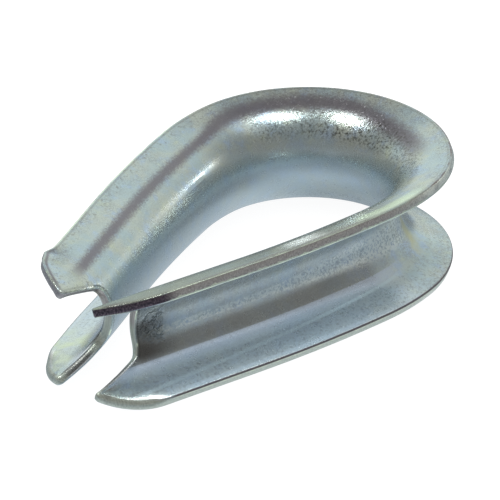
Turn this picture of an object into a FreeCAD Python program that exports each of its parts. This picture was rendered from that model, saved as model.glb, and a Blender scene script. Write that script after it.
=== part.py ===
import FreeCAD, Part
import math
import os

import Sketcher

# Open-tip wire rope thimble: one pressed steel strip with a U-shaped rope groove on its outside,
# bent round a teardrop eye. Both legs run to an open tip, where each flange ends in a horn that
# reaches past the end of the groove floor.
#
# Frame, in millimetres: origin at the centre of the eye's round end, at mid height.
# +Z is the axis of the eye, +X points at the crown, and -X points at the tip.
#
# The strip is drawn as its eye-side skin, trimmed, then thickened away from the eye, so every
# cut edge stands square to the sheet, as it does on a strip that is blanked and then pressed.

SIZES = (
    # alias, value, meaning
    ("eye_radius", 12.0, "inside radius of the round end of the eye, at mid height"),
    ("crown_angle", 85.0, "half angle of the round end, from the crown"),
    ("shoulder_radius", 28.0, "inside radius between the round end and a leg"),
    ("closing_angle", 10.3, "how far a leg leans towards the other one at the shoulder"),
    ("bow_radius", 188.0, "bend radius of the bowed part of a leg"),
    ("bow_angle", 7.1, "turn of the bowed part of a leg"),
    ("straight_length", 15.4, "straight end of a leg, up to the end of the groove floor"),
    ("seat_radius", 6.7, "inside radius of the rope groove"),
    ("strip_thickness", 1.6, "sheet thickness"),
    ("lip_turn", 70.5, "half angle of the groove's round floor, where the lips start"),
    ("lip_length", 4.0, "straight lip beyond the round floor"),
    ("notch_start", 0.3, "distance out from the eye skin where the floor's end turns into a horn"),
    ("notch_radius", 1.4, "radius between the floor's end and a horn's inner edge"),
    ("horn_slope", 72.5, "angle from the floor's end to a horn's inner edge"),
    ("horn_tip_radius", 0.6, "radius of a horn's tip"),
    ("horn_side_radius", 11.6, "radius of a horn's outer edge"),
    ("rim_setback", 0.2, "how far the straight rim stops short of the end of the groove floor"),
    ("rim_rounding", 0.3, "rounding of the edges along the rims"),
)

UP = FreeCAD.Vector(0, 0, 1)
CLEAR = 3.0  # how far the waste outline stands clear of the sheet
GRAZE = 0.02  # how far outside the rim a horn's outer edge ends, so that it crosses the rim
CUT_HEIGHT = 60.0  # height of the trimming solid, well over the height of the strip
SHARP = 40.0  # faces that meet at more degrees than this share a sheared edge
LEVEL = 0.01  # an edge that rises less than this keeps to one height


def make_sheet(doc):
    sheet = doc.addObject("Spreadsheet::Sheet", "Sizes")
    for row, (alias, value, meaning) in enumerate(SIZES, start=1):
        sheet.set(f"A{row}", alias)
        sheet.set(f"B{row}", str(value))
        sheet.set(f"C{row}", meaning)
        sheet.setAlias(f"B{row}", alias)
    doc.recompute()
    return sheet


def polar(radius, degrees):
    turn = math.radians(degrees)
    return FreeCAD.Vector(radius * math.cos(turn), radius * math.sin(turn), 0)


class Outline:
    """A sketch that is drawn in its own local axes and then held by dimensions."""

    def __init__(self, doc, name, at=FreeCAD.Vector(), turn=0.0):
        self.sketch = doc.addObject("Sketcher::SketchObject", name)
        self.place = FreeCAD.Placement(at, FreeCAD.Rotation(UP, turn))
        self.turn = turn

    def line(self, start, end):
        points = (self.place.multVec(point) for point in (start, end))
        return self.sketch.addGeometry(Part.LineSegment(*points))

    def arc(self, centre, radius, start, end):
        circle = Part.Circle(self.place.multVec(centre), UP, radius)
        first = math.radians(start + self.turn)
        last = math.radians(end + self.turn)
        return self.sketch.addGeometry(Part.ArcOfCircle(circle, first, last))

    def hold(self, kind, *references):
        return self.sketch.addConstraint(Sketcher.Constraint(kind, *references))

    def drive(self, kind, references, value, formula):
        """Add a dimension that takes its value from the sheet."""
        index = self.hold(kind, *references, value)
        self.sketch.setExpression(f"Constraints[{index}]", formula)


def leg_angles(sheet):
    """Direction of the leg's outward normal where the bow starts and where it ends."""
    bow_start = 90 + sheet.closing_angle
    return bow_start, bow_start + sheet.bow_angle


def straight_start(sheet):
    """Where the straight end of the +Y leg starts, on the eye skin at mid height."""
    bow_start, bow_end = leg_angles(sheet)
    point = polar(sheet.eye_radius - sheet.shoulder_radius, sheet.crown_angle)
    point += polar(sheet.shoulder_radius - sheet.bow_radius, bow_start)
    return point + polar(sheet.bow_radius, bow_end)


def rim_reach(sheet):
    """How far the rim stands out from the eye skin at mid height."""
    turn = math.radians(sheet.lip_turn)
    wall = sheet.seat_radius + sheet.strip_thickness
    return wall * (1 - math.cos(turn)) + sheet.lip_length * math.sin(turn)


def make_spine(doc, sheet):
    """Half of the eye's outline at mid height, from the crown to beyond the horns of the +Y leg."""
    outline = Outline(doc, "EyeOutline")
    bow_start, bow_end = leg_angles(sheet)
    length = 2 * sheet.straight_length
    shoulder_centre = polar(sheet.eye_radius - sheet.shoulder_radius, sheet.crown_angle)
    bow_centre = shoulder_centre + polar(sheet.shoulder_radius - sheet.bow_radius, bow_start)
    leg_start = straight_start(sheet)
    origin = FreeCAD.Vector()

    crown = outline.arc(origin, sheet.eye_radius, 0, sheet.crown_angle)
    shoulder = outline.arc(shoulder_centre, sheet.shoulder_radius, sheet.crown_angle, bow_start)
    bow = outline.arc(bow_centre, sheet.bow_radius, bow_start, bow_end)
    leg = outline.line(leg_start, leg_start + polar(length, bow_end + 90))

    outline.hold("Coincident", crown, 3, -1, 1)
    outline.hold("PointOnObject", crown, 1, -1)
    outline.hold("Tangent", crown, 2, shoulder, 1)
    outline.hold("Tangent", shoulder, 2, bow, 1)
    outline.hold("Tangent", bow, 2, leg, 1)
    outline.drive("Radius", (crown,), sheet.eye_radius, "Sizes.eye_radius")
    outline.drive("Radius", (shoulder,), sheet.shoulder_radius, "Sizes.shoulder_radius")
    outline.drive("Radius", (bow,), sheet.bow_radius, "Sizes.bow_radius")
    outline.drive("Angle", (crown,), math.radians(sheet.crown_angle), "Sizes.crown_angle * 1 deg")
    outline.drive("Angle", (shoulder,), math.radians(bow_start - sheet.crown_angle),
                  "(90 + Sizes.closing_angle - Sizes.crown_angle) * 1 deg")
    outline.drive("Angle", (bow,), math.radians(sheet.bow_angle), "Sizes.bow_angle * 1 deg")
    outline.drive("Distance", (leg,), length, "2 * Sizes.straight_length")
    return outline.sketch


def make_section(doc, sheet):
    """Eye-side line of the strip's section at the crown: a round floor and a lip on each side."""
    outline = Outline(doc, "GrooveSection")
    radius = sheet.seat_radius + sheet.strip_thickness
    centre = FreeCAD.Vector(sheet.eye_radius + radius, 0, 0)
    floor = outline.arc(centre, radius, 180 - sheet.lip_turn, 180 + sheet.lip_turn)
    outline.hold("PointOnObject", floor, 3, -1)
    outline.hold("Symmetric", floor, 1, floor, 2, -1)
    for end, side in ((1, 1), (2, -1)):
        root = centre + polar(radius, 180 - side * sheet.lip_turn)
        lip = outline.line(root, root + polar(sheet.lip_length, side * (90 - sheet.lip_turn)))
        outline.hold("Tangent", floor, end, lip, 1)
        outline.drive("Distance", (lip,), sheet.lip_length, "Sizes.lip_length")
    outline.drive("Radius", (floor,), radius, "Sizes.seat_radius + Sizes.strip_thickness")
    outline.drive("Angle", (floor,), math.radians(2 * sheet.lip_turn), "2 * Sizes.lip_turn * 1 deg")
    outline.drive("DistanceX", (-1, 1, floor, 3), centre.x,
                  "Sizes.eye_radius + Sizes.seat_radius + Sizes.strip_thickness")
    outline.sketch.Placement = FreeCAD.Placement(
        FreeCAD.Vector(), FreeCAD.Rotation(FreeCAD.Vector(1, 0, 0), 90)
    )
    return outline.sketch


def make_tip_outline(doc, sheet, spine):
    """Waste that is cut off the +Y leg, seen along the eye's axis.

    In the outline's local axes x points out of the eye and y runs along the leg to the tip. Its
    near side follows the end of the groove floor, the horn's inner edge, the horn's tip and the
    horn's outer edge, which runs into the rim.
    """
    outline = Outline(doc, "TipOutline", straight_start(sheet), leg_angles(sheet)[1])
    floor_end = sheet.straight_length
    slope = sheet.horn_slope
    side_radius = sheet.horn_side_radius
    rim = rim_reach(sheet) + GRAZE

    notch_centre = FreeCAD.Vector(sheet.notch_start, floor_end + sheet.notch_radius, 0)
    ramp_start = notch_centre + polar(sheet.notch_radius, slope - 90)
    side_centre = FreeCAD.Vector(rim - side_radius, floor_end - sheet.rim_setback, 0)
    # the tip's round touches the straight inner edge and the inside of the outer edge
    along = polar(1, slope)
    near = ramp_start + polar(sheet.horn_tip_radius, slope - 90) - side_centre
    ahead = near.dot(along)
    reach = (side_radius - sheet.horn_tip_radius) ** 2 - near.dot(near) + ahead ** 2
    tip_centre = side_centre + near + along * (math.sqrt(reach) - ahead)
    ramp_end = tip_centre + polar(sheet.horn_tip_radius, slope + 90)
    side_turn = math.degrees((tip_centre - side_centre).getAngle(FreeCAD.Vector(1, 0, 0)))
    corners = [
        side_centre + polar(side_radius, 0),
        FreeCAD.Vector(rim + CLEAR, side_centre.y, 0),
        FreeCAD.Vector(rim + CLEAR, 2 * floor_end, 0),
        FreeCAD.Vector(-CLEAR, 2 * floor_end, 0),
        FreeCAD.Vector(-CLEAR, floor_end, 0),
        FreeCAD.Vector(sheet.notch_start, floor_end, 0),
    ]

    notch = outline.arc(notch_centre, sheet.notch_radius, -90, slope - 90)
    ramp = outline.line(ramp_start, ramp_end)
    tip = outline.arc(tip_centre, sheet.horn_tip_radius, side_turn, slope + 90)
    side = outline.arc(side_centre, side_radius, 0, side_turn)
    clear = [outline.line(start, end) for start, end in zip(corners, corners[1:])]
    outward, beside_rim, across, back, floor = clear
    outline.sketch.addExternal(spine.Name, "Edge4")
    leg = -3

    outline.hold("Tangent", floor, 2, notch, 1)
    outline.hold("Tangent", notch, 2, ramp, 1)
    outline.hold("Tangent", ramp, 2, tip, 2)
    outline.hold("Tangent", tip, 1, side, 2)
    outline.hold("Coincident", side, 1, outward, 1)
    outline.hold("PointOnObject", side, 3, outward)
    for first, second in zip(clear, clear[1:]):
        outline.hold("Coincident", first, 2, second, 1)
        outline.hold("Perpendicular", first, second)
    outline.hold("Parallel", leg, beside_rim)
    outline.hold("Distance", beside_rim, 1, leg, rim + CLEAR)
    outline.hold("Distance", back, 1, leg, CLEAR)
    outline.drive("Distance", (leg, 1, across), 2 * floor_end, "2 * Sizes.straight_length")
    outline.drive("Distance", (leg, 1, floor), floor_end, "Sizes.straight_length")
    outline.drive("Distance", (floor, 2, leg), sheet.notch_start, "Sizes.notch_start")
    outline.drive("Distance", (side, 3, floor), sheet.rim_setback, "Sizes.rim_setback")
    outline.drive("Distance", (side, 1, leg), rim,
                  "(Sizes.seat_radius + Sizes.strip_thickness) * (1 - cos(Sizes.lip_turn * 1 deg))"
                  f" + Sizes.lip_length * sin(Sizes.lip_turn * 1 deg) + {GRAZE}")
    outline.drive("Angle", (floor, ramp), math.radians(slope), "Sizes.horn_slope * 1 deg")
    outline.drive("Radius", (notch,), sheet.notch_radius, "Sizes.notch_radius")
    outline.drive("Radius", (tip,), sheet.horn_tip_radius, "Sizes.horn_tip_radius")
    outline.drive("Radius", (side,), side_radius, "Sizes.horn_side_radius")
    return outline.sketch


def make_half_strip(doc, sheet):
    """The crown's +Y half with its leg, trimmed and thickened."""
    spine = make_spine(doc, sheet)
    section = make_section(doc, sheet)
    doc.recompute()
    skin = doc.addObject("Part::Sweep", "EyeSkin")
    skin.Sections = [section]
    skin.Spine = (spine, [f"Edge{number + 1}" for number in range(len(spine.Shape.Edges))])
    skin.Solid = False

    waste = doc.addObject("Part::Extrusion", "TipWaste")
    waste.Base = make_tip_outline(doc, sheet, spine)
    waste.DirMode = "Custom"
    waste.Dir = UP
    waste.LengthFwd = CUT_HEIGHT
    waste.Symmetric = True
    waste.Solid = True

    trimmed = doc.addObject("Part::Cut", "TrimmedSkin")
    trimmed.Base = skin
    trimmed.Tool = waste

    strip = doc.addObject("Part::Offset", "HalfStrip")
    strip.Source = trimmed
    strip.Fill = True
    strip.setExpression("Value", "Sizes.strip_thickness")
    doc.recompute()
    return strip


def rim_edges(shape):
    """Names of the sheared edges along both rims, the only long edges that keep to one height."""
    names = []
    for number, edge in enumerate(shape.Edges, start=1):
        faces = shape.ancestorsOfType(edge, Part.Face)
        middle = edge.valueAt((edge.FirstParameter + edge.LastParameter) / 2)
        normals = [face.normalAt(*face.Surface.parameter(middle)) for face in faces]
        sheared = math.degrees(normals[0].getAngle(normals[-1])) > SHARP
        if sheared and edge.BoundBox.ZLength < LEVEL:
            names.append(f"Edge{number}")
    return names


def make_thimble(doc, sheet):
    """Both halves as one strip, with its rims rounded."""
    half = make_half_strip(doc, sheet)
    other = doc.addObject("Part::Mirroring", "OtherHalfStrip")
    other.Source = half
    other.Normal = FreeCAD.Vector(0, 1, 0)
    strip = doc.addObject("Part::Fuse", "Strip")
    strip.Base = half
    strip.Tool = other
    strip.Refine = True
    doc.recompute()

    body = doc.addObject("PartDesign::Body", "Thimble")
    body.Label = "thimble"
    body.BaseFeature = strip
    doc.recompute()
    rounding = body.newObject("PartDesign::Fillet", "RoundedRims")
    rounding.Base = (body.Group[0], rim_edges(body.Group[0].Shape))
    rounding.setExpression("Radius", "Sizes.rim_rounding")
    doc.recompute()
    return body


def check(doc, parts):
    for item in doc.Objects:
        if {"Invalid", "Error"} & set(item.State):
            raise RuntimeError(f"{item.Name}: {item.State}")
    for part in parts:
        if part.Shape.isNull() or not part.Shape.isValid() or len(part.Shape.Solids) != 1:
            raise RuntimeError(f"{part.Label} is not one valid solid")


def main():
    doc = FreeCAD.newDocument("Thimble")
    parts = [make_thimble(doc, make_sheet(doc))]
    doc.recompute()
    check(doc, parts)
    os.makedirs("parts", exist_ok=True)
    for part in parts:
        part.Shape.exportStep(f"parts/{part.Label}.step")


main()
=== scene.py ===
import math
from functools import cached_property

import bpy
import numpy as np
from mathutils import Matrix, Vector


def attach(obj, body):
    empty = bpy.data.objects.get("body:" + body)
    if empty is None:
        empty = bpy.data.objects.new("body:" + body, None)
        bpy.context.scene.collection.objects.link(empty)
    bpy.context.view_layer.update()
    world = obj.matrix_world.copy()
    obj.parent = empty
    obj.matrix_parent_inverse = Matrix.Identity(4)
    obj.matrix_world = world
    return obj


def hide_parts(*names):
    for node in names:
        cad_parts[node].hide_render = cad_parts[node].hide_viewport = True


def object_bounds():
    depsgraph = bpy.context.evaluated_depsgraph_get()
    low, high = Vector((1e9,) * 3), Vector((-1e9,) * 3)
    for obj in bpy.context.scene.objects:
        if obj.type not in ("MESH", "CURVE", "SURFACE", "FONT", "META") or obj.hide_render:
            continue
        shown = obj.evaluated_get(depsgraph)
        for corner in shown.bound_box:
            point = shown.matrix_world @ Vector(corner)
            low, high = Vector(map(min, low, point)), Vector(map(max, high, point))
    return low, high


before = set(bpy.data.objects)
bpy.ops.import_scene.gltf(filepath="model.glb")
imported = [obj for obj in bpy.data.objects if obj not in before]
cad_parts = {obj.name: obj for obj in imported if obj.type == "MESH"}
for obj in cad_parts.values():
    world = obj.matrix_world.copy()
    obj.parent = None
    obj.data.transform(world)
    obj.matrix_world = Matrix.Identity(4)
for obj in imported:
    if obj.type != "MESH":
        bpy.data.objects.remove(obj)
cad_low, cad_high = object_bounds()

# The thimble is one pressed steel strip. Its sheet is drawn on a flat layout of the strip:
# station runs along the strip from the crown (negative on the -Y leg), and girth runs across it
# from the middle of the groove floor (positive upwards). Lengths are in millimetres, and
# TO_METRES turns them into the frame's unit. A pair of numbers is where a change starts and ends.

EYE_RADIUS = 12.0  # inside the crown, at mid height
CROWN_ANGLE = math.radians(85.0)  # from the crown's middle to where the shoulder starts
SHOULDER_RADIUS = 28.0
CLOSING_ANGLE = math.radians(10.3)  # how far each leg leans inwards after the shoulder
BOW_RADIUS = 188.0  # the legs bow slightly before their straight ends
BOW_ANGLE = math.radians(7.1)
STRAIGHT_LENGTH = 15.4
SHEET = 1.6
GROOVE_RADIUS = 6.7
WALL_RADIUS = GROOVE_RADIUS + SHEET
LIP_TURN = math.radians(70.5)  # arc of the section from the middle of the floor to a lip
LIP_LENGTH = 4.0
NOTCH_START = 0.3  # where the cut across the floor's end turns towards a horn
NOTCH_RADIUS = 1.4
HORN_SLOPE = math.radians(72.5)  # a horn's inner edge, from square to the strip
HORN_TIP_RADIUS = 0.6
HORN_SIDE_RADIUS = 11.6
RIM_SETBACK = 0.2  # how far before the floor's end a horn's curved outer edge starts

CROWN_END = EYE_RADIUS * CROWN_ANGLE
SHOULDER_END = CROWN_END + SHOULDER_RADIUS * (math.pi / 2 + CLOSING_ANGLE - CROWN_ANGLE)
BOW_END = SHOULDER_END + BOW_RADIUS * BOW_ANGLE
FLOOR_END = BOW_END + STRAIGHT_LENGTH
WALL_GIRTH = WALL_RADIUS * LIP_TURN
HALF_GIRTH = WALL_GIRTH + LIP_LENGTH
WALL_REACH = WALL_RADIUS * (1 - math.cos(LIP_TURN))
RIM_REACH = WALL_REACH + LIP_LENGTH * math.sin(LIP_TURN)

PATCH_START = FLOOR_END - 7.0  # from here to its end, each leg is meshed as one patch
HORN_START = (FLOOR_END - 1.0, FLOOR_END + 3.0)

BURR_ROUND = 0.2  # eye-side corner round the horns
RIM_ROUND = 0.28  # both corners along the rims
HORN_ROUND = 0.45  # groove-side corner round the upper horns and the floor's ends
LOWER_HORN_ROUND = 0.72  # groove-side corner round the lower horns
LOWER_ROUND_GIRTHS = (5.0, 8.0)
FLOOR_CORNER = 2.0  # the floor's rounder corner fades out over this girth
TIP_ROUND = 0.3
TIP_REACH = 1.2  # how far from a horn's tip its sharper corner reaches
EDGE_SUPPORT = 0.12  # from the rounded corner to the first row of the skins

ROLL_WIDTH = 1.5  # the skins sink towards a cut edge over this width
RIM_ROLL = 0.05
HORN_ROLL = 0.24
LOWER_HORN_ROLL = 0.5
LOWER_ROLL_WIDTH = 2.8
LOWER_ROLL_GIRTHS = (6.0, 10.0)
EYE_ROLL = 0.06  # the eye skin sinks less

# the +Y leg's end is not quite true: its lower lip is sprung open ...
OPENING = math.radians(4.5)
OPENING_HINGE = 6.0  # girth of the line that the lip turns about
OPENING_STATIONS = (38.0, 58.0)
OPENING_GIRTHS = (5.0, 9.0)
# ... a nib of burr stands out where its upper rim meets the horn ...
NIB_STATION = 64.2
NIB_HEIGHT = 0.5
NIB_LENGTH = 0.9
NIB_GIRTHS = (12.0, 14.0)
NIB_LIFT = 0.5  # share of the nib's height by which it also stands into the groove
# ... and that horn has a fuller flank and a tip that is cut shorter
BULGE = 0.55
BULGE_STATION = 66.5
BULGE_LENGTH = 2.8
BULGE_GIRTHS = (9.5, 13.5)
SHORTER = 1.2
SHORTER_STATIONS = (64.0, 74.0)
SHORTER_GIRTHS = (4.0, 9.0)

COLUMNS = 56  # cells across the strip
ROWS = 180  # cells along the strip between the two end patches
END_ROWS = 30  # cells along each end patch
ROUND_STEPS = 4  # cells round each corner of the cut edge
FINE = 400  # points on each stretch of an outline before it is resampled
CHUNKS = 60  # points are measured in this many groups, to keep each table small

TO_METRES = 0.001


# ---------------------------------------------------------------- shape of the strip

def heading(station):
    """Direction of the outward normal at a station, as an angle from +X."""
    run = np.abs(station)
    turn = np.minimum(run, CROWN_END) / EYE_RADIUS
    turn = turn + np.clip(run - CROWN_END, 0, SHOULDER_END - CROWN_END) / SHOULDER_RADIUS
    turn = turn + np.clip(run - SHOULDER_END, 0, BOW_END - SHOULDER_END) / BOW_RADIUS
    return np.sign(station) * turn


def eye_line(station):
    """Point on the eye skin at mid height."""
    run = np.abs(station)
    crown = np.minimum(run, CROWN_END) / EYE_RADIUS
    x, y = EYE_RADIUS * np.cos(crown), EYE_RADIUS * np.sin(crown)
    angle = CROWN_ANGLE
    for start, end, radius in ((CROWN_END, SHOULDER_END, SHOULDER_RADIUS),
                               (SHOULDER_END, BOW_END, BOW_RADIUS)):
        turn = np.clip(run - start, 0, end - start) / radius
        x = x + radius * (np.cos(angle + turn) - math.cos(angle))
        y = y + radius * (np.sin(angle + turn) - math.sin(angle))
        angle += (end - start) / radius
    straight = np.maximum(run - BOW_END, 0)
    x = x - straight * math.sin(angle)
    y = y + straight * math.cos(angle)
    return x, y * np.where(station < 0, -1, 1)


def smooth(value, low, high):
    """Smooth step from 0 to 1 as value goes from low to high."""
    step = np.clip((value - low) / (high - low), 0, 1)
    return step * step * (3 - 2 * step)


def hump(value, centre, width):
    """Bell curve of height 1."""
    return np.exp(-((value - centre) / width) ** 2)


def section(girth, depth):
    """Reach and height of a point of the section; depth runs from the eye skin to the groove."""
    turn = np.minimum(np.abs(girth), WALL_GIRTH) / WALL_RADIUS
    lip = np.maximum(np.abs(girth) - WALL_GIRTH, 0)
    reach = WALL_RADIUS * (1 - np.cos(turn)) + lip * math.sin(LIP_TURN) + depth * np.cos(turn)
    height = WALL_RADIUS * np.sin(turn) + lip * math.cos(LIP_TURN) - depth * np.sin(turn)
    return reach, height


def sheet_point(station, girth, depth):
    """Place points of the layout in the frame, with what is uneven about the +Y leg's end."""
    nib = NIB_HEIGHT * hump(station, NIB_STATION, NIB_LENGTH) * smooth(girth, *NIB_GIRTHS)
    bulge = BULGE * hump(station, BULGE_STATION, BULGE_LENGTH) * smooth(girth, *BULGE_GIRTHS)
    reach, height = section(girth + nib, depth + NIB_LIFT * nib)
    reach = reach + bulge
    station = station - SHORTER * smooth(station, *SHORTER_STATIONS) * smooth(girth, *SHORTER_GIRTHS)
    hinge_reach, hinge_height = section(OPENING_HINGE, SHEET / 2)
    opening = OPENING * smooth(station, *OPENING_STATIONS) * smooth(-girth, *OPENING_GIRTHS)
    out, up = reach - hinge_reach, height - hinge_height
    reach = hinge_reach + out * np.cos(opening) + up * np.sin(opening)
    height = hinge_height + up * np.cos(opening) - out * np.sin(opening)
    x, y = eye_line(station)
    angle = heading(station)
    up = np.sign(girth) * height
    return np.stack([x + reach * np.cos(angle), y + reach * np.sin(angle), up], axis=-1)


def groove_depth(station, girth, margin):
    """Depth of the groove skin, which sinks towards cut edges."""
    horn = smooth(np.abs(station), *HORN_START)
    lower = smooth(-girth, *LOWER_ROLL_GIRTHS)
    roll = RIM_ROLL + (HORN_ROLL - RIM_ROLL) * horn + (LOWER_HORN_ROLL - HORN_ROLL) * horn * lower
    width = ROLL_WIDTH + (LOWER_ROLL_WIDTH - ROLL_WIDTH) * horn * lower
    return SHEET - roll * np.clip(1 - margin / width, 0, 1) ** 2


def eye_depth(margin):
    """Depth of the eye skin, which sinks a little towards cut edges."""
    return EYE_ROLL * np.clip(1 - margin / ROLL_WIDTH, 0, 1) ** 2


def girth_at(reach):
    """Girth of the eye skin where it stands a given distance out from the eye line."""
    wall = WALL_RADIUS * np.arccos(1 - np.clip(reach, 0, WALL_REACH) / WALL_RADIUS)
    return wall + np.maximum(reach - WALL_REACH, 0) / math.sin(LIP_TURN)


# ---------------------------------------------------------------- outline of a leg's end

def arc_points(centre, radius, start, end):
    angle = np.linspace(start, end, FINE)
    return np.stack([centre[0] + radius * np.cos(angle), centre[1] + radius * np.sin(angle)], axis=-1)


def end_outline():
    """Upper half of a leg's end as (reach, station): inner edge up to the horn's tip, then outer edge."""
    notch = np.array([NOTCH_START, FLOOR_END + NOTCH_RADIUS])
    out = np.array([math.sin(HORN_SLOPE), -math.cos(HORN_SLOPE)])
    along = np.array([math.cos(HORN_SLOPE), math.sin(HORN_SLOPE)])
    ramp_start = notch + NOTCH_RADIUS * out
    side = np.array([RIM_REACH - HORN_SIDE_RADIUS, FLOOR_END - RIM_SETBACK])
    near = ramp_start + HORN_TIP_RADIUS * out - side
    ahead = near @ along
    span = math.sqrt((HORN_SIDE_RADIUS - HORN_TIP_RADIUS) ** 2 - near @ near + ahead ** 2)
    tip = side + near + along * (span - ahead)
    side_turn = math.atan2(*(tip - side)[::-1])
    tip_start = HORN_SLOPE + math.pi / 2
    tip_middle = (tip_start + side_turn) / 2
    floor = np.linspace([0, FLOOR_END], [NOTCH_START, FLOOR_END], FINE)
    corner = arc_points(notch, NOTCH_RADIUS, -math.pi / 2, HORN_SLOPE - math.pi / 2)
    ramp = np.linspace(ramp_start, tip - HORN_TIP_RADIUS * out, FINE)
    rise = arc_points(tip, HORN_TIP_RADIUS, tip_start, tip_middle)
    fall = arc_points(tip, HORN_TIP_RADIUS, tip_middle, side_turn)
    flank = arc_points(side, HORN_SIDE_RADIUS, side_turn, 0)
    inner = np.concatenate([floor, corner[1:], ramp[1:], rise[1:]])
    outer = np.concatenate([fall, flank[1:]])
    return inner, outer


def resample(points, count):
    """Points at even steps of length along a polyline."""
    step = np.linalg.norm(np.diff(points, axis=0), axis=1)
    run = np.concatenate([[0], np.cumsum(step)])
    at = np.linspace(0, run[-1], count)
    return np.stack([np.interp(at, run, points[:, axis]) for axis in (0, 1)], axis=-1)


def layout_boundary():
    """Boundary of the flat layout of the +Y leg's end patch, as (station, girth) arrays.

    Returns the end row from the lower horn's tip to the upper one, and the upper side from the
    patch's start along the rim and the horn's outer edge to the tip.
    """
    inner, outer = end_outline()
    inner = np.stack([inner[:, 1], girth_at(inner[:, 0])], axis=-1)
    outer = np.stack([outer[:, 1], girth_at(outer[:, 0])], axis=-1)
    half_row = resample(inner, COLUMNS // 2 + 1)
    end_row = np.concatenate([half_row[:0:-1] * [1, -1], half_row])
    rim = np.linspace([PATCH_START, HALF_GIRTH], outer[-1], FINE)
    side = np.concatenate([rim, outer[::-1][1:]])
    return end_row, resample(side, END_ROWS + 1)


def inward(loop):
    """Unit normals of a closed loop of (station, girth) points, pointing into the sheet."""
    tangent = np.roll(loop, -1, axis=0) - np.roll(loop, 1, axis=0)
    tangent /= np.linalg.norm(tangent, axis=1)[:, None]
    return np.stack([-tangent[:, 1], tangent[:, 0]], axis=-1)


def sheet_layout():
    """Grid of (station, girth) points, the indices of its edge, and the boundary loop with its
    inward normals and corner radii.

    The grid's rows run across the strip. Its edge is the boundary moved inwards, which leaves
    room for the rounded edge.
    """
    end_row, side = layout_boundary()
    rows = ROWS + 2 * END_ROWS
    shape = (rows + 1, COLUMNS + 1, 2)
    outline = np.zeros(shape)
    middle = np.linspace(-PATCH_START, PATCH_START, ROWS + 1)
    stations = np.concatenate([-side[:0:-1, 0], middle, side[1:, 0]])
    girths = np.concatenate([side[:0:-1, 1], np.full(ROWS + 1, HALF_GIRTH), side[1:, 1]])
    outline[:, -1] = np.stack([stations, girths], axis=-1)
    outline[:, 0] = outline[:, -1] * [1, -1]
    outline[-1] = end_row
    outline[0] = end_row * [-1, 1]

    # walk round the boundary anticlockwise in (station, girth)
    index = np.arange(shape[0] * shape[1]).reshape(shape[:2])
    loop_index = np.concatenate([index[:, 0], index[-1, 1:], index[-2::-1, -1], index[0, -2:0:-1]])
    loop = outline.reshape(-1, 2)[loop_index]
    normals = inward(loop)
    burr, rounds = edge_rounding(loop)
    grid = outline.reshape(-1, 2).copy()
    grid[loop_index] = loop + (np.maximum(burr, rounds) + EDGE_SUPPORT)[:, None] * normals
    grid = grid.reshape(shape)

    seams = (0, END_ROWS, rows - END_ROWS, rows)
    for seam in seams[1:-1]:
        grid[seam] = straight_row(grid[seam])
    for first, last in zip(seams, seams[1:]):
        fill_patch(grid[first:last + 1])
    return grid, loop_index, loop, normals, burr, rounds


def fill_patch(patch):
    """Blend the inside of a patch from its four sides, in place."""
    down = np.linspace(0, 1, patch.shape[0])[:, None, None]
    across = np.linspace(0, 1, patch.shape[1])[None, :, None]
    sides = (1 - across) * patch[:, :1] + across * patch[:, -1:]
    ends = (1 - down) * patch[:1] + down * patch[-1:]
    corners = ((1 - down) * ((1 - across) * patch[:1, :1] + across * patch[:1, -1:])
               + down * ((1 - across) * patch[-1:, :1] + across * patch[-1:, -1:]))
    patch[1:-1, 1:-1] = (sides + ends - corners)[1:-1, 1:-1]


def straight_row(row):
    """Evenly spaced points on the straight line between a row's ends."""
    across = np.linspace(0, 1, len(row))[:, None]
    return (1 - across) * row[0] + across * row[-1]


def edge_rounding(loop):
    """Radii of the eye-side and groove-side corners along the boundary."""
    _, outer = end_outline()
    tip = outer[0]
    run, girth = np.abs(loop[:, 0]), np.abs(loop[:, 1])
    horn = smooth(run, *HORN_START)
    floor = smooth(-girth, -WALL_GIRTH, FLOOR_CORNER - WALL_GIRTH)
    worn = np.maximum(horn, floor)
    lower = smooth(-loop[:, 1], *LOWER_ROUND_GIRTHS) * horn
    rounds = RIM_ROUND + (HORN_ROUND - RIM_ROUND) * worn + (LOWER_HORN_ROUND - HORN_ROUND) * lower
    near_tip = hump(run, tip[1], TIP_REACH) * hump(girth, girth_at(tip[0]), TIP_REACH)
    burr = RIM_ROUND + (BURR_ROUND - RIM_ROUND) * worn
    return burr, rounds + (TIP_ROUND - rounds) * near_tip


def edge_profile(loop, burr, rounds):
    """Cut edge from the eye skin to the groove skin: steps of (distance inwards, depth)."""
    turns = np.linspace(0, math.pi / 2, ROUND_STEPS + 1)
    for turn in turns:
        inwards = burr * (1 - math.sin(turn))
        yield inwards, eye_depth(inwards) + burr * (1 - math.cos(turn))
    for turn in turns[::-1]:
        inwards = rounds * (1 - math.sin(turn))
        skin = groove_depth(loop[:, 0], loop[:, 1], inwards)
        yield inwards, skin - rounds * (1 - math.cos(turn))


def margin_of(points, loop):
    """Distance from each point of the layout to the boundary loop."""
    start = loop[None]
    side = np.roll(loop, -1, axis=0)[None] - start
    length = (side ** 2).sum(axis=-1)
    margins = []
    for chunk in np.array_split(points, CHUNKS):
        away = chunk[:, None] - start
        along = np.clip((away * side).sum(axis=-1) / length, 0, 1)
        gap = away - along[..., None] * side
        margins.append(np.sqrt((gap ** 2).sum(axis=-1)).min(axis=1))
    return np.concatenate(margins)


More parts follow.
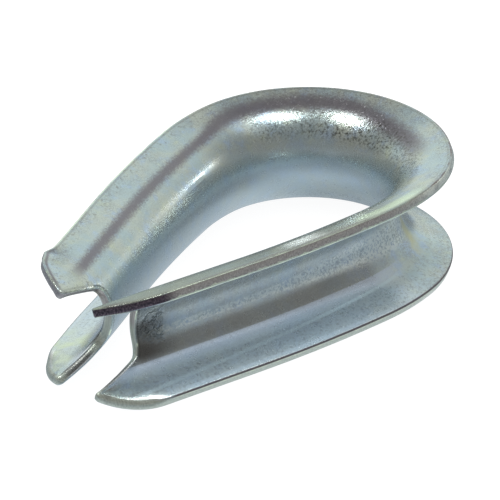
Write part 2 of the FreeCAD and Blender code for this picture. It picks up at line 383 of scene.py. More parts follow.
def sheet_faces(shape, loop_index, rings):
    """Quads of both skins and of the cut edge between them."""
    index = np.arange(shape[0] * shape[1]).reshape(shape)
    cells = np.stack([index[:-1, :-1], index[:-1, 1:], index[1:, 1:], index[1:, :-1]], axis=-1)
    cells = cells.reshape(-1, 4)
    faces = [cells, cells[:, ::-1] + index.size]
    chain = [loop_index, *rings, loop_index + index.size]
    for first, second in zip(chain, chain[1:]):
        faces.append(np.stack([first, np.roll(first, -1), np.roll(second, -1), second], axis=-1))
    return np.concatenate(faces).tolist()


def build_sheet():
    """The strip as one closed mesh, which keeps its layout coordinates for the material."""
    grid, loop_index, loop, normals, burr, rounds = sheet_layout()
    flat = grid.reshape(-1, 2)
    margin = margin_of(flat, loop)
    groove = groove_depth(flat[:, 0], flat[:, 1], margin)
    layers = [(flat, eye_depth(margin), margin), (flat, groove, margin)]
    rings = []
    for inwards, depth in edge_profile(loop, burr, rounds):
        rings.append(2 * len(flat) + len(rings) * len(loop) + np.arange(len(loop)))
        layers.append((loop + inwards[:, None] * normals, depth, inwards))
    places, depths, margins = (np.concatenate(column) for column in zip(*layers))
    vertices = sheet_point(places[:, 0], places[:, 1], depths) * TO_METRES
    mesh = bpy.data.meshes.new("thimble_strip")
    mesh.from_pydata(vertices.tolist(), [], sheet_faces(grid.shape[:2], loop_index, rings))
    mesh.shade_smooth()
    fields = {"station": places[:, 0], "girth": places[:, 1], "depth": depths / SHEET, "margin": margins}
    for name, values in fields.items():
        mesh.attributes.new(name, "FLOAT", "POINT").data.foreach_set("value", values.astype(np.float32))
    piece = bpy.data.objects.new("formed_strip", mesh)
    bpy.context.scene.collection.objects.link(piece)
    return piece


# ---------------------------------------------------------------- material

# base colours of the plate, its stains and its cut edges (linear red, green, blue)
BLUE_GREEN = (0.50, 0.60, 0.62)
WARM_GREY = (0.59, 0.63, 0.57)
FILM_BLUE = (0.47, 0.60, 0.78)
FILM_YELLOW = (0.64, 0.68, 0.50)
HORN_YELLOW = (0.72, 0.80, 0.58)
INNER_BLUE = (0.51, 0.60, 0.645)
BAND_PURPLE_AND_SHADE = (0.21, 0.185, 0.21)
EDGE_PURPLE = (0.19, 0.15, 0.19)
PAINTED_GLINT_WHITE = (0.95, 0.93, 1.0)
DRAWN_BLUE = (0.62, 0.70, 0.84)
PAINTED_LIGHT_BLUE = (0.76, 0.85, 0.92)
PALE_BLUE = (0.75, 0.85, 0.95)
WALL_SHEEN_BLUE = (0.80, 0.88, 1.0)
LINE_BLUE = (0.85, 0.97, 1.0)
PALE_SPECK_WHITE = (0.86, 0.92, 0.88)
HORN_HIGHLIGHT_WHITE = (0.93, 0.96, 1.0)
WHITE = (1.0, 1.0, 1.0)
LIP_HIGHLIGHT_WHITE = (1.0, 1.0, 0.97)
LIP_HIGHLIGHT_YELLOW = (0.85, 0.98, 0.72)
CORNER_HIGHLIGHT_YELLOW = (0.90, 1.0, 0.80)
CROWN_EDGE_BROWN = (0.20, 0.15, 0.15)
SPECK_GREY = (0.28, 0.28, 0.29)
PIT_GREY = (0.26, 0.28, 0.30)
RIM_SPECK_GREY = (0.25, 0.24, 0.23)
EDGE_GREY = (0.25, 0.25, 0.22)
LIP_EDGE_GREY = (0.19, 0.17, 0.17)
LIP_OLIVE = (0.30, 0.32, 0.25)
SHADOWED_GREEN = (0.22, 0.23, 0.20)
WALL_REFLECTION_BROWN = (0.31, 0.295, 0.27)
STAIN_OLIVE = (0.62, 0.60, 0.34)
CORNER_SHADE_BROWN = (0.13, 0.09, 0.10)
OLIVE_BLACK = (0.06, 0.06, 0.045)
GROOVE_END_DARK = (0.10, 0.09, 0.08)
DARK_REFLECTION_BLACK = (0.10, 0.085, 0.09)
TORN_CREAM = (0.74, 0.78, 0.62)
SHEARED_BROWN = ((0.30, 0.275, 0.265), (0.60, 0.57, 0.54))  # sheared colours: score and ridge
SHEARED_PALE = ((0.46, 0.50, 0.43), (0.70, 0.74, 0.66))
SHEARED_CREAM = ((0.62, 0.64, 0.56), (1.0, 1.0, 0.9))
SHEARED_GREY = ((0.30, 0.28, 0.29), (0.50, 0.48, 0.48))
SHEARED_REFLECTION_BLACK = ((0.05, 0.04, 0.055), (0.22, 0.17, 0.20))
SHEARED_DARK = ((0.15, 0.15, 0.14), (0.30, 0.30, 0.29))

# where the strip's parts turn into each other: stations, girths and depths of the masks
CROWN_FADE = (14.0, 24.0)
STRETCHED_FADE = (12.0, 18.0)
STRETCHED_GIRTHS = (4.8, 9.5, 0.9)  # low, high and softness
RIMS_FADE = (62.0, 64.5)
LOWER_FADE = (-6.0, -4.0)
UPPER_LIP_RISE = (6.0, 9.0)
EYE_SKIN_FADE = (0.02, 0.2)
GROOVE_SKIN_RISE = (0.8, 0.95)
FACE_RISE = (0.13, 0.18)
FACE_FADE = (0.8, 0.86)
CORNER_WIDTH = 0.24
FLANK_SLOPE = 0.27  # the lower horns' middle line, as girth against run

METALLIC = 0.85
GRAIN_HEIGHT = 0.00004  # metres
FOLD_HEIGHT = 0.00012
BASE_ROUGHNESS = 0.18


class Graph:
    """Short forms for wiring a node tree."""

    def __init__(self, tree):
        self.tree = tree

    def node(self, kind, inputs=None, **settings):
        node = self.tree.nodes.new(kind)
        for name, value in settings.items():
            setattr(node, name, value)
        for name, value in (inputs or {}).items():
            self.put(node.inputs[name], value)
        return node

    def put(self, socket, value):
        if isinstance(value, bpy.types.NodeSocket):
            self.tree.links.new(value, socket)
        elif socket.type == "RGBA" and len(value) == 3:
            socket.default_value = (*value, 1)
        else:
            socket.default_value = value

    def math(self, operation, *values):
        inputs = dict(enumerate(values))
        return self.node("ShaderNodeMath", inputs, operation=operation).outputs[0]

    def product(self, first, *others):
        for other in others:
            first = self.math("MULTIPLY", first, other)
        return first

    def line(self, value, slope, offset):
        """A straight-line function of a value."""
        return self.math("MULTIPLY_ADD", value, slope, offset)

    def distance(self, value, centre):
        return self.math("ABSOLUTE", self.math("SUBTRACT", value, centre))

    def ramp(self, value, low, high, start=0.0, end=1.0):
        """Smooth step from start to end as value goes from low to high."""
        inputs = {"Value": value, "From Min": low, "From Max": high, "To Min": start, "To Max": end}
        return self.node("ShaderNodeMapRange", inputs, interpolation_type="SMOOTHSTEP").outputs[0]

    def fade(self, value, low, high):
        """Smooth step from one down to zero as value goes from low to high."""
        return self.ramp(value, low, high, 1.0, 0.0)

    def band(self, value, low, high, soft):
        """One between low and high, zero outside, with soft edges."""
        rise = self.ramp(value, low - soft, low + soft)
        return self.product(rise, self.fade(value, high - soft, high + soft))

    def mix(self, factor, first, second, blend="MIX"):
        node = self.node("ShaderNodeMix", data_type="RGBA", blend_type=blend)
        self.put(node.inputs[0], factor)
        self.put(node.inputs[6], first)
        self.put(node.inputs[7], second)
        return node.outputs[2]

    def mix_value(self, factor, first, second):
        node = self.node("ShaderNodeMix", {0: factor, 2: first, 3: second}, data_type="FLOAT")
        return node.outputs[0]

    def pair(self, first, second):
        return self.node("ShaderNodeCombineXYZ", {0: first, 1: second}).outputs[0]

    def height_of(self, vector):
        return self.node("ShaderNodeSeparateXYZ", {0: vector}).outputs["Z"]

    def along(self, vector, direction):
        """Component of a vector along a unit direction."""
        return self.node("ShaderNodeVectorMath", {0: vector, 1: direction},
                         operation="DOT_PRODUCT").outputs["Value"]

    def noise(self, place, scale, detail=2.0, rough=0.5):
        inputs = {"Vector": place, "Scale": scale, "Detail": detail, "Roughness": rough}
        return self.node("ShaderNodeTexNoise", inputs).outputs[0]

    def attribute(self, name):
        return self.node("ShaderNodeAttribute", attribute_name=name).outputs["Fac"]


class Plate(Graph):
    """Node tree of the zinc plate, with the layout coordinates and the masks that place its marks.

    Coordinates are in millimetres, except depth, which goes from 0 on the eye skin to 1 on the
    groove skin. Masks go from 0 to 1.
    """

    def __init__(self, tree):
        super().__init__(tree)
        metres = self.node("ShaderNodeTexCoord").outputs["Object"]
        scaled = self.node("ShaderNodeVectorMath", {0: metres, "Scale": 1 / TO_METRES}, operation="SCALE")
        self.place = scaled.outputs[0]
        self.station = self.attribute("station")
        self.girth = self.attribute("girth")
        self.depth = self.attribute("depth")
        self.margin = self.attribute("margin")  # distance to the cut edge
        self.run = self.math("ABSOLUTE", self.station)
        self.rise = self.math("ABSOLUTE", self.girth)
        self.low = self.math("MULTIPLY", self.girth, -1.0)
        self.eye_side = self.fade(self.depth, *EYE_SKIN_FADE)
        self.groove_side = self.ramp(self.depth, *GROOVE_SKIN_RISE)
        self.crown = self.fade(self.run, *CROWN_FADE)
        self.lower = self.fade(self.girth, *LOWER_FADE)
        self.rims = self.fade(self.run, *RIMS_FADE)
        self.grain = self.noise(self.place, 2.6, 3.0, 0.65)

    @cached_property
    def layout(self):
        """Layout coordinates drawn out along the strip, for marks of the forming roll."""
        return self.pair(self.product(self.station, 0.06), self.girth)

    @cached_property
    def stretched(self):
        """The eye skin of the crown's walls, where the sheet was stretched most."""
        return self.product(self.fade(self.run, *STRETCHED_FADE), self.band(self.rise, *STRETCHED_GIRTHS),
                            self.eye_side)

    @cached_property
    def upper_lip(self):
        """The eye skin of the upper lip."""
        return self.product(self.eye_side, self.ramp(self.girth, *UPPER_LIP_RISE))

    @cached_property
    def corner(self):
        """The cut edge with its corners."""
        return self.band(self.margin, -1.0, CORNER_WIDTH, 0.06)

    @cached_property
    def reflects_dark(self):
        """The -Y leg's upper horn, where a dark reflection is painted."""
        return self.product(self.ramp(self.girth, 3.5, 5.5), self.fade(self.station, -64.5, -61.0))

    @cached_property
    def flank(self):
        """The outer edge of the lower horns' groove skin."""
        beyond = self.math("SUBTRACT", self.rise, self.line(self.run, FLANK_SLOPE, -7.8))
        return self.product(self.ramp(beyond, 0.0, 0.5), self.lower, self.groove_side,
                            self.band(self.margin, 0.2, 1.1, 0.2), self.band(self.run, 64.5, 73.0, 1.0))

    @cached_property
    def face(self):
        """The cut edge between its two corners."""
        return self.product(self.ramp(self.depth, *FACE_RISE), self.fade(self.depth, *FACE_FADE))

    @cached_property
    def sheared(self):
        """The part of the cut edge's face that the blanking punch sheared; the rest of it tore."""
        torn = self.line(self.noise(self.layout, 22.0), 0.45, 0.50)
        torn = self.line(self.rims, self.math("SUBTRACT", torn, 0.9), 0.9)
        return self.product(self.face, self.math("LESS_THAN", self.depth, torn))


# Each mark below lays one colour over the plate, where its stations, girths and margins say.

def film_tints(plate):
    """Passivation colours that drift over the plate: blue-green, pale yellow and light blue."""
    drift = plate.noise(plate.place, 0.16, 3.0, 0.55)
    colour = plate.mix(plate.ramp(drift, 0.36, 0.64), BLUE_GREEN, WARM_GREY)
    film = plate.noise(plate.place, 0.45, 4.0, 0.6)
    colour = plate.mix(plate.ramp(film, 0.50, 0.70, 0.0, 0.6), colour, FILM_BLUE)
    return plate.mix(plate.ramp(film, 0.28, 0.46, 0.5, 0.0), colour, FILM_YELLOW)


def shade_band_and_glints(plate, colour):
    """A dark purple band where the lip turns, partly the film's tint and partly painted dark reflection;
    wider and higher on the crown, with a few painted glints.
    """
    spread = plate.line(plate.crown, 1.0, 1.15)
    raised = plate.product(plate.crown, plate.ramp(plate.station, -3.0, 5.0))
    middle = plate.line(raised, 1.7, 9.15)
    ragged = plate.line(plate.noise(plate.place, 3.0, 3.0, 0.8), 1.6, -0.8)
    off = plate.math("DIVIDE", plate.distance(plate.rise, middle), spread)
    off = plate.math("ADD", off, ragged)
    band = plate.product(plate.fade(off, 0.2, 1.3), plate.band(plate.station, -9.0, 66.0, 3.0),
                         plate.eye_side)
    # painted dark reflection, laid in with the film's purple tint
    colour = plate.mix(plate.product(band, 0.92), colour, BAND_PURPLE_AND_SHADE)
    # painted glints: white specks in the band on the crown
    painted_glints = plate.ramp(plate.noise(plate.place, 2.6, 2.0, 0.6), 0.64, 0.72, 0.0, 0.8)
    painted_glints = plate.product(painted_glints, band, plate.band(plate.station, -4.0, 10.0, 3.0))
    return plate.mix(painted_glints, colour, PAINTED_GLINT_WHITE)


def drawn_lines(plate, colour):
    """Lines drawn along the groove by the forming roll."""
    drawn = plate.ramp(plate.noise(plate.layout, 1.5, 3.0, 0.6), 0.55, 0.72)
    return plate.mix(plate.product(drawn, plate.groove_side, 0.4), colour, DRAWN_BLUE)


def speckle(plate, colour):
    """Grey specks: coarse near the edges, and fine in drifting patches all over."""
    coarse = plate.fade(plate.noise(plate.place, 1.9, 3.0, 0.7), 0.36, 0.46)
    coarse = plate.product(plate.ramp(plate.margin, 1.2, 3.2, 0.55, 0.0), coarse)
    colour = plate.mix(coarse, colour, RIM_SPECK_GREY)
    patches = plate.ramp(plate.noise(plate.place, 0.25), 0.35, 0.65, 0.05, 0.22)
    flanges = plate.math("MAXIMUM", plate.groove_side, plate.ramp(plate.rise, 9.5, 12.5))
    fine = plate.fade(plate.noise(plate.place, 4.2, 2.0, 0.7), 0.42, 0.62)
    return plate.mix(plate.product(fine, patches, plate.line(flanges, 1.3, 1.0)), colour, SPECK_GREY)


def crown_spots(plate, colour):
    """Dark spots where the crown was stretched, densest at the middle of the bend."""
    spots = plate.fade(plate.grain, 0.32, 0.55)
    denser = plate.product(plate.stretched, plate.band(plate.station, -3.5, 6.0, 3.0))
    strength = plate.line(denser, 0.25, plate.product(plate.stretched, 0.65))
    return plate.mix(plate.product(spots, strength), colour, OLIVE_BLACK)


def inner_tint(plate, colour):
    """Cleaner blue-grey plate on the inside of the eye."""
    tint = plate.product(plate.ramp(plate.girth, 2.5, 5.5, 0.6, 0.0), plate.eye_side)
    return plate.mix(tint, colour, INNER_BLUE)


def lit_flange_and_pits(plate, colour):
    """Paler plate on the groove side of the legs, strongest on the lower lip, as painted light from above;
    and grey pits.
    """
    # painted light: the groove side made paler, most of all on the lower lip, which faces up
    painted_light = plate.product(plate.band(plate.run, 19.0, 66.0, 4.0), plate.groove_side,
                           plate.ramp(plate.low, 7.0, 9.5, 0.3, 0.55))
    colour = plate.mix(painted_light, colour, PAINTED_LIGHT_BLUE)
    pits = plate.fade(plate.noise(plate.place, 2.4, 2.0, 0.6), 0.36, 0.46)
    pits = plate.product(pits, plate.groove_side, plate.ramp(plate.low, 8.5, 10.0, 0.15, 0.4))
    return plate.mix(pits, colour, PIT_GREY)


def pale_floor_band(plate, colour):
    """Pale specks in a band just below the middle of the groove's floor, in a strip that narrows to the tip.
    """
    spread = plate.ramp(plate.run, 14.0, 44.0, 3.0, 0.7)
    off = plate.math("DIVIDE", plate.distance(plate.low, 2.0), spread)
    speckled_band = plate.product(plate.fade(off, 0.6, 1.3), plate.groove_side, plate.ramp(plate.grain, 0.40, 0.54),
                            plate.ramp(plate.run, 8.0, 16.0))
    return plate.mix(plate.product(speckled_band, 0.85), colour, PALE_SPECK_WHITE)


def wall_bands(plate, colour):
    """Painted reflections on the lower wall: a dark brown band and a pale blue band that meet in a line, and
    a pale slanted line.
    """
    seam = (6.5, 6.72)
    legs = plate.product(plate.ramp(plate.run, 16.0, 30.0), plate.groove_side)
    # painted dark reflection: the dark band on the lower wall
    painted_dark = plate.product(plate.ramp(plate.low, 2.8, 4.2), plate.fade(plate.low, *seam), legs,
                         plate.ramp(plate.run, 18.0, 34.0, 0.15, 0.45))
    colour = plate.mix(painted_dark, colour, WALL_REFLECTION_BROWN)
    # painted highlight: the pale blue band below it
    painted_sheen = plate.product(plate.ramp(plate.low, *seam), plate.fade(plate.low, 7.2, 9.6),
                              plate.groove_side, plate.ramp(plate.run, 16.0, 24.0))
    colour = plate.mix(plate.product(painted_sheen, 0.75), colour, WALL_SHEEN_BLUE)
    # painted highlight: a pale slanted line along the wall
    off = plate.distance(plate.low, plate.line(plate.run, 0.07, 7.4))
    painted_line = plate.product(plate.fade(off, 0.1, 0.5), plate.ramp(plate.run, 28.0, 40.0, 1.0, 0.6), legs,
                            plate.fade(plate.station, -15.0, -10.0))
    return plate.mix(painted_line, colour, LINE_BLUE)


def dark_ends_and_olive_stain(plate, colour):
    """Darker towards the ends of the groove's floor, and an olive run beside the crown."""
    end_dark = plate.product(plate.ramp(plate.run, 55.0, 63.5), plate.band(plate.low, -1.0, 6.3, 1.2),
                         plate.groove_side, 0.85)
    colour = plate.mix(end_dark, colour, GROOVE_END_DARK)
    off = plate.distance(plate.station, plate.line(plate.low, -0.35, -10.2))
    off = plate.math("ADD", off, plate.line(plate.noise(plate.place, 1.0), 2.0, -1.0))
    olive = plate.product(plate.fade(off, 0.3, 1.6), plate.band(plate.low, 0.5, 8.0, 1.5),
                          plate.groove_side, 0.6)
    return plate.mix(olive, colour, STAIN_OLIVE)


def edge_lines(plate, colour):
    """A dark line beside the cut edge on the eye side, which is painted shade, and a pale one under the lower
    rims.
    """
    # painted shade: a dark line just inside the eye-side corner
    painted_dark = plate.product(plate.band(plate.margin, 0.35, 0.65, 0.1), 0.35, plate.eye_side)
    colour = plate.mix(painted_dark, colour, EDGE_GREY)
    pale = plate.product(plate.band(plate.margin, 0.45, 1.0, 0.15), plate.lower, 0.5, plate.groove_side,
                         plate.band(plate.run, 26.0, 61.0, 4.0))
    return plate.mix(pale, colour, PALE_BLUE)


def dark_reflection_horn(plate, colour):
    """Painted dark reflection: black along the edge of the -Y leg's upper horn."""
    edge = plate.product(plate.ramp(plate.margin, 0.5, 1.3, 0.75, 0.0), plate.reflects_dark,
                         plate.ramp(plate.rise, 9.0, 11.0), plate.eye_side)
    return plate.mix(edge, colour, DARK_REFLECTION_BLACK)


def yellow_horn(plate, colour):
    """Yellow-green film on the +Y leg's lower horn."""
    cloud = plate.ramp(plate.noise(plate.place, 0.35), 0.35, 0.65, 0.15, 0.9)
    film = plate.product(plate.ramp(plate.station, 56.0, 62.0), plate.fade(plate.girth, -8.0, -6.0),
                         plate.groove_side, cloud)
    return plate.mix(film, colour, HORN_YELLOW)


def painted_corner_highlights(plate, colour):
    """Painted highlights on the corners, yellow-white in stretches along the upper rims and in glints on the
    upper horns; the same corners are brown round the crown.
    """
    rim_patches = plate.ramp(plate.noise(plate.place, 0.3), 0.4, 0.6, 0.35, 1.0)
    glints = plate.ramp(plate.noise(plate.place, 0.6, 1.0), 0.56, 0.66)
    # painted highlight lines on the corners of the upper rims and horns
    bright = plate.product(plate.corner, plate.math("SUBTRACT", 1.0, plate.lower),
                           plate.mix_value(plate.rims, glints, rim_patches), 0.9)
    paint = plate.mix(plate.ramp(plate.run, 16.0, 26.0), CROWN_EDGE_BROWN, CORNER_HIGHLIGHT_YELLOW)
    return plate.mix(bright, colour, paint)


def purple_edge(plate, colour):
    """A purple line beside the edge of the +Y leg's upper horn."""
    line = plate.product(plate.band(plate.margin, 0.35, 0.75, 0.2), plate.ramp(plate.station, 62.0, 65.0),
                         plate.ramp(plate.girth, 9.0, 11.0), 0.65)
    return plate.mix(line, colour, EDGE_PURPLE)


def painted_horn_highlights(plate, colour):
    """Painted highlights: white flanks and corners on the lower horns."""
    # painted highlight bands on the lower horns' flanks and groove-side corners
    colour = plate.mix(plate.product(plate.flank, 0.9), colour, WHITE)
    corner = plate.product(plate.band(plate.margin, -1.0, 0.5, 0.1), plate.lower,
                           plate.ramp(plate.run, 64.5, 66.0), plate.ramp(plate.depth, 0.55, 0.62), 0.85)
    return plate.mix(corner, colour, HORN_HIGHLIGHT_WHITE)


def dark_upper_lip(plate, colour):
    """The -Y leg's upper lip: darker olive, with painted shade near the wall, a painted dark reflection at
    the tip and a dark band along the edge.
    """
    olive_lip = plate.product(plate.ramp(plate.station, -64.0, -44.0, 0.7, 0.4), plate.upper_lip,
                            plate.fade(plate.station, -30.0, -22.0))
    colour = plate.mix(olive_lip, colour, LIP_OLIVE)
    # painted shade on the lip's inner part, next to the wall
    inner = plate.product(plate.band(plate.station, -62.0, -26.0, 4.0), plate.fade(plate.girth, 10.2, 11.4),
                          plate.upper_lip, 0.6)
    colour = plate.mix(inner, colour, SHADOWED_GREEN)
    # painted dark reflection at the horn's tip
    tip = plate.product(plate.ramp(plate.station, -72.5, -67.5, 0.8, 0.0), plate.ramp(plate.girth, 9.5, 11.5),
                        plate.eye_side)
    colour = plate.mix(tip, colour, DARK_REFLECTION_BLACK)
    edge = plate.product(plate.ramp(plate.margin, 0.5, 1.1, 0.6, 0.0), plate.upper_lip,
                         plate.band(plate.station, -60.0, -18.0, 4.0))
    return plate.mix(edge, colour, LIP_EDGE_GREY)


def painted_highlight_spots(plate, colour):
    """Two painted highlights on the -Y leg's upper lip."""
    # painted highlights: two pale patches on the upper lip
    middle = plate.product(plate.band(plate.station, -41.5, -36.0, 2.0), plate.upper_lip,
                           plate.band(plate.girth, 10.5, 13.2, 0.6))
    colour = plate.mix(middle, colour, LIP_HIGHLIGHT_WHITE)
    shoulder = plate.product(plate.band(plate.station, -29.0, -19.0, 3.0), plate.upper_lip,
                             plate.band(plate.girth, 11.6, 13.8, 0.6), 0.8)
    return plate.mix(shoulder, colour, LIP_HIGHLIGHT_YELLOW)


def dark_corner(plate, colour):
    """The lower rims' groove-side corner, painted dark as shade."""
    dark = plate.product(plate.corner, plate.lower, plate.rims, plate.ramp(plate.depth, 0.7, 0.8), 0.8)
    return plate.mix(dark, colour, CORNER_SHADE_BROWN)


def cut_edge(plate, colour):
    """The cut edge's face: torn metal with a sheared part beside the eye skin."""
    colour = plate.mix(plate.product(plate.face, plate.rims), colour, TORN_CREAM)
    return plate.mix(plate.sheared, colour, sheared_colour(plate))


def sheared_colour(plate):
    """Sheared metal with fine scores across the edge: brown-grey above, and paler below as painted light from
    the floor; cream round the crown, also painted light. The lower horns' inner edges get painted shade with
    a painted highlight band, and the -Y leg's upper horn is painted black as a dark reflection.
    """
    scored = plate.pair(plate.station, plate.depth)
    scores = plate.noise(scored, 5.0, 3.0, 0.7)
    middling = plate.ramp(scores, 0.35, 0.65)
    upper = plate.ramp(plate.girth, -1.0, 1.0)
    below = plate.math("SUBTRACT", 1.0, upper)
    brown = plate.mix(plate.ramp(scores, 0.3, 0.7), *SHEARED_BROWN)
    pale = plate.mix(plate.ramp(scores, 0.3, 0.7), *SHEARED_PALE)
    # painted light: cream blotches on the faces round the crown
    blotch = plate.ramp(plate.noise(scored, 0.5, 3.0, 0.6), 0.42, 0.58)
    crown = plate.product(plate.fade(plate.run, 18.0, 27.0), plate.line(blotch, 0.5, 0.5))
    pale = plate.mix(crown, pale, plate.mix(scores, *SHEARED_CREAM))
    # painted light: the lower rims' faces paler than the upper ones
    face = plate.mix(plate.product(upper, plate.math("SUBTRACT", 1.0, crown)), pale, brown)
    # painted shade on the lower horns' inner edges, with a painted highlight band beside the eye skin
    inside = plate.math("SUBTRACT", plate.rise, plate.line(plate.run, FLANK_SLOPE, -8.8))
    inside = plate.product(plate.fade(inside, -0.3, 0.3), plate.band(plate.run, 66.0, 71.5, 1.0), below)
    lit = plate.product(plate.fade(plate.depth, 0.24, 0.32), plate.ramp(plate.station, 64.0, 66.0),
                        plate.ramp(scores, 0.25, 0.5, 0.5, 1.0))
    face = plate.mix(inside, face, plate.mix(lit, plate.mix(middling, *SHEARED_DARK), HORN_HIGHLIGHT_WHITE))
    upper_horns = plate.product(upper, plate.ramp(plate.run, 65.0, 67.0))
    face = plate.mix(upper_horns, face, plate.mix(middling, *SHEARED_GREY))
    # painted dark reflection: black on the cut edge of the -Y leg's upper horn
    return plate.mix(plate.reflects_dark, face, plate.mix(plate.ramp(scores, 0.4, 0.7), *SHEARED_REFLECTION_BLACK))


MARKS = (shade_band_and_glints, drawn_lines, speckle, crown_spots, inner_tint, lit_flange_and_pits, pale_floor_band, wall_bands,
         dark_ends_and_olive_stain, edge_lines, dark_reflection_horn, yellow_horn, painted_corner_highlights, purple_edge, painted_horn_highlights,
         dark_upper_lip, painted_highlight_spots, dark_corner, cut_edge)  # in the order that they lie on the plate


def folds(plate):
    """Bent folds where the -Y leg's floor was cut off, as a height from -1 to 1."""
    from_end = plate.math("ADD", plate.station, FLOOR_END)
    wander = plate.line(plate.noise(plate.place, 0.7, 3.0, 0.6), 4.4, -2.2)
    along = plate.math("SUBTRACT", from_end, 4.2)
    across = plate.math("ADD", plate.girth, 0.3)
    ring = plate.math("ADD", plate.product(along, along), plate.product(across, across))
    ring = plate.math("SQRT", ring)
    wave = plate.math("SINE", plate.product(plate.math("ADD", ring, wander), 4.2))
    return plate.product(wave, plate.fade(ring, 2.2, 4.4), plate.band(from_end, 0.6, 4.6, 0.5),
                         plate.groove_side)


def relief(plate):
    """Normal of the plate's grain, which is deeper where the crown was stretched, and of the folds."""
    strength = plate.line(plate.stretched, 0.65, 0.08)
    bump = plate.node("ShaderNodeBump", {"Height": plate.grain, "Distance": GRAIN_HEIGHT,
                                         "Strength": strength})
    bump = plate.node("ShaderNodeBump", {"Height": folds(plate), "Distance": FOLD_HEIGHT,
                                         "Normal": bump.outputs[0]})
    return bump.outputs[0]


def roughness(plate):
    """Uneven satin, smoother on polished places and duller in the groove beside the crown."""
    rough = plate.line(plate.noise(plate.place, 1.3), 0.14, BASE_ROUGHNESS)
    rough = plate.math("ADD", rough, plate.product(plate.sheared, 0.1))
    polished = plate.product(plate.band(plate.run, 27.0, 33.0, 1.0), plate.band(plate.rise, 4.0, 5.6, 0.4))
    rough = plate.product(rough, plate.line(polished, -0.6, 1.0), plate.line(plate.flank, -0.5, 1.0))
    dulled = plate.product(plate.band(plate.station, -22.0, -11.0, 2.0), plate.groove_side)
    return plate.line(dulled, 0.22, rough)


def zinc_material():
    material = bpy.data.materials.new("zinc_plate")
    material.use_nodes = True
    plate = Plate(material.node_tree)
    colour = film_tints(plate)
    for mark in MARKS:
        colour = mark(plate, colour)
    shader = material.node_tree.nodes["Principled BSDF"]
    plate.put(shader.inputs["Base Color"], colour)
    plate.put(shader.inputs["Metallic"], METALLIC)
    plate.put(shader.inputs["Roughness"], roughness(plate))
    plate.put(shader.inputs["Normal"], relief(plate))
    return material


# ---------------------------------------------------------------- stage

WALL_DIRECTION = (0.788, 0.616, 0.0)  # from the camera across the object, level
CEILING_DIRECTION = (0.8, -0.6, 0.0)  # towards the pale part of the ceiling
WALL_COLOUR = (0.84, 0.92, 0.90)
CEILING_COLOUR = (0.85, 0.93, 1.0)
ROOM_LOW = (0.44, 0.46, 0.47)
ROOM_HIGH = (0.20, 0.20, 0.195)
BACKDROP = (1.25, 1.25, 1.25)  # what the camera and diffuse light see in place of the room
FLOOR_SEEN = (0.92, 0.92, 0.92)
FLOOR_BASE = (0.2, 0.2, 0.2)
BLACK = (0.0, 0.0, 0.0)
TABLE_GRAZING = (0.22, 0.27, 0.32)  # the floor's painted glow as the metal reflects it, at low and steep angles
TABLE_STEEP = (0.72, 0.79, 0.85)
FLOOR_REACH = 1.5
SHADE_PLACE = (0.0185, 0.002)  # middle of the painted shadow on the floor's glow, under the crown
SHADE_RADII = (0.007, 0.016)
SHADE_VALUE = 0.7

LAMPS = (("lamp_near", (0.19, -0.17), (0.36, 0.15)),  # name, place over the table, size
         ("lamp_far", (-0.17, 0.35), (0.36, 0.19)))
LAMP_RADIANCE = 14.0
LAMP_HEIGHT = 1.0
LAMP_COLOUR = (0.95, 1.0, 0.97)
WINDOW_AZIMUTH = 64.0
WINDOW_ELEVATION = 16.0
WINDOW_SIZE = (0.045, 0.055)
WINDOW_RADIANCE = 16.0

CAMERA_AZIMUTH = -51.967  # degrees; 0 looks along +Y
CAMERA_ELEVATION = 28.46
CAMERA_ROLL = -0.553
CAMERA_DISTANCE = 0.69298
CAMERA_SHIFT = (-0.008448, -0.00666)  # to its own right and upwards
SENSOR_WIDTH = 36.0  # millimetres
LENS = 336.459


def floor_material():
    """White to the eye, with a faint shadow. To the metal the floor glows as a painted reflection of a cool
    table, brighter from above and pale beyond the object, with a painted shadow under the crown.
    """
    material = bpy.data.materials.new("floor")
    material.use_nodes = True
    graph = Graph(material.node_tree)
    path = graph.node("ShaderNodeLightPath").outputs
    geometry = graph.node("ShaderNodeNewGeometry").outputs
    steep = graph.height_of(geometry["Incoming"])
    table = graph.mix(graph.ramp(steep, 0.1, 0.9), TABLE_GRAZING, TABLE_STEEP)
    beyond = graph.along(geometry["Position"], WALL_DIRECTION)
    table = graph.mix(graph.ramp(beyond, 0.2, 0.35), table, WALL_COLOUR)
    away = graph.node("ShaderNodeVectorMath", {0: geometry["Position"], 1: (*SHADE_PLACE, cad_low[2])},
                      operation="DISTANCE").outputs["Value"]
    shade = graph.ramp(away, *SHADE_RADII, SHADE_VALUE, 1.0)
    shade = graph.node("ShaderNodeCombineColor", {0: shade, 1: shade, 2: shade}).outputs[0]
    table = graph.mix(1.0, table, shade, "MULTIPLY")
    # painted light: the floor glows, white to the camera and as a table to the metal
    glow = graph.mix(path["Is Camera Ray"], table, FLOOR_SEEN)
    glow = graph.mix(path["Is Diffuse Ray"], glow, BLACK)
    shader = material.node_tree.nodes["Principled BSDF"]
    graph.put(shader.inputs["Base Color"], graph.mix(path["Is Glossy Ray"], FLOOR_BASE, BLACK))
    graph.put(shader.inputs["Emission Color"], glow)
    graph.put(shader.inputs["Emission Strength"], 1.0)
    graph.put(shader.inputs["Roughness"], 1.0)
    graph.put(shader.inputs["Specular IOR Level"], 0.0)
    return material


def make_floor(height):
    mesh = bpy.data.meshes.new("floor")
    corners = [(FLOOR_REACH * x, FLOOR_REACH * y, height) for x, y in ((-1, -1), (1, -1), (1, 1), (-1, 1))]
    mesh.from_pydata(corners, [], [(0, 1, 2, 3)])
    mesh.materials.append(floor_material())
    floor = bpy.data.objects.new("floor", mesh)
    bpy.context.scene.collection.objects.link(floor)


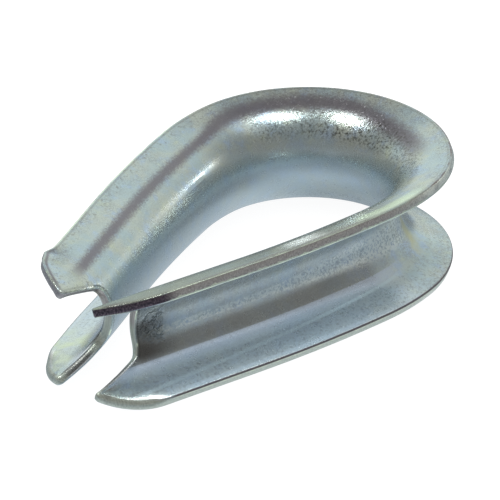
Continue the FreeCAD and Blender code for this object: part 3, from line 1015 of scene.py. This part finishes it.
def panel(name, place, size, radiance):
    """A rectangular area light that faces down until it is turned."""
    light = bpy.data.lights.new(name, "AREA")
    light.shape = "RECTANGLE"
    light.size, light.size_y = size
    light.energy = radiance * math.pi * size[0] * size[1]
    lamp = bpy.data.objects.new(name, light)
    lamp.location = place
    bpy.context.scene.collection.objects.link(lamp)
    return lamp


def ceiling_lamps():
    """Long panels high above the object."""
    for name, place, size in LAMPS:
        lamp = panel(name, (*place, LAMP_HEIGHT), size, LAMP_RADIANCE)
        lamp.data.color = LAMP_COLOUR


def window_light():
    """A small upright panel a metre away, facing the object."""
    toward = direction(WINDOW_AZIMUTH, WINDOW_ELEVATION)
    lamp = panel("window", toward, WINDOW_SIZE, WINDOW_RADIANCE)
    lamp.rotation_euler = (-toward).to_track_quat("-Z", "Y").to_euler()


def direction(azimuth, elevation):
    """Unit vector from the origin to a viewer at these angles, in degrees."""
    turn, lift = math.radians(azimuth), math.radians(elevation)
    return Vector((math.sin(turn) * math.cos(lift), -math.cos(turn) * math.cos(lift), math.sin(lift)))


def make_camera():
    back = direction(CAMERA_AZIMUTH, CAMERA_ELEVATION)
    turn, roll = math.radians(CAMERA_AZIMUTH), math.radians(CAMERA_ROLL)
    level = Vector((math.cos(turn), math.sin(turn), 0))
    upright = back.cross(level)
    right = level * math.cos(roll) + upright * math.sin(roll)
    up = upright * math.cos(roll) - level * math.sin(roll)
    camera_data = bpy.data.cameras.new("camera")
    camera_data.sensor_width = SENSOR_WIDTH
    camera_data.lens = LENS
    camera = bpy.data.objects.new("camera", camera_data)
    place = back * CAMERA_DISTANCE + right * CAMERA_SHIFT[0] + up * CAMERA_SHIFT[1]
    axes = Matrix((right, up, back)).transposed().to_4x4()
    camera.matrix_world = Matrix.Translation(place) @ axes
    bpy.context.scene.collection.objects.link(camera)
    bpy.context.scene.camera = camera


def make_world():
    """A dim room with a bright wall behind the object; white where the camera sees it."""
    world = bpy.data.worlds.new("studio")
    world.use_nodes = True
    graph = Graph(world.node_tree)
    view = graph.node("ShaderNodeTexCoord").outputs["Generated"]
    height = graph.height_of(view)
    across = graph.along(view, (0.0, 1.0, 0.0))
    foot = graph.ramp(across, 0.70, 0.88, 0.0, 0.22)
    above_foot = graph.ramp(graph.math("SUBTRACT", height, foot), -0.05, 0.05)
    wall = graph.product(graph.ramp(graph.along(view, WALL_DIRECTION), 0.15, 0.8),
                         graph.fade(height, 0.55, 0.85), above_foot)
    ceiling = graph.product(graph.ramp(height, 0.73, 0.79),
                            graph.ramp(graph.along(view, CEILING_DIRECTION), 0.35, 0.6))
    room = graph.mix(graph.ramp(height, 0.0, 0.35), ROOM_LOW, ROOM_HIGH)
    room = graph.mix(wall, room, WALL_COLOUR)
    room = graph.mix(ceiling, room, CEILING_COLOUR)
    path = graph.node("ShaderNodeLightPath").outputs
    plain = graph.math("MAXIMUM", path["Is Camera Ray"], path["Is Diffuse Ray"])
    background = world.node_tree.nodes["Background"]
    graph.put(background.inputs["Color"], graph.mix(plain, room, BACKDROP))
    graph.put(background.inputs["Strength"], 1.0)
    bpy.context.scene.world = world


thimble = build_sheet()
thimble.data.materials.append(zinc_material())
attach(thimble, "root")
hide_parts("thimble")

make_floor(cad_low[2])
make_world()
window_light()
ceiling_lamps()
make_camera()
bpy.context.scene.view_settings.view_transform = "Standard"
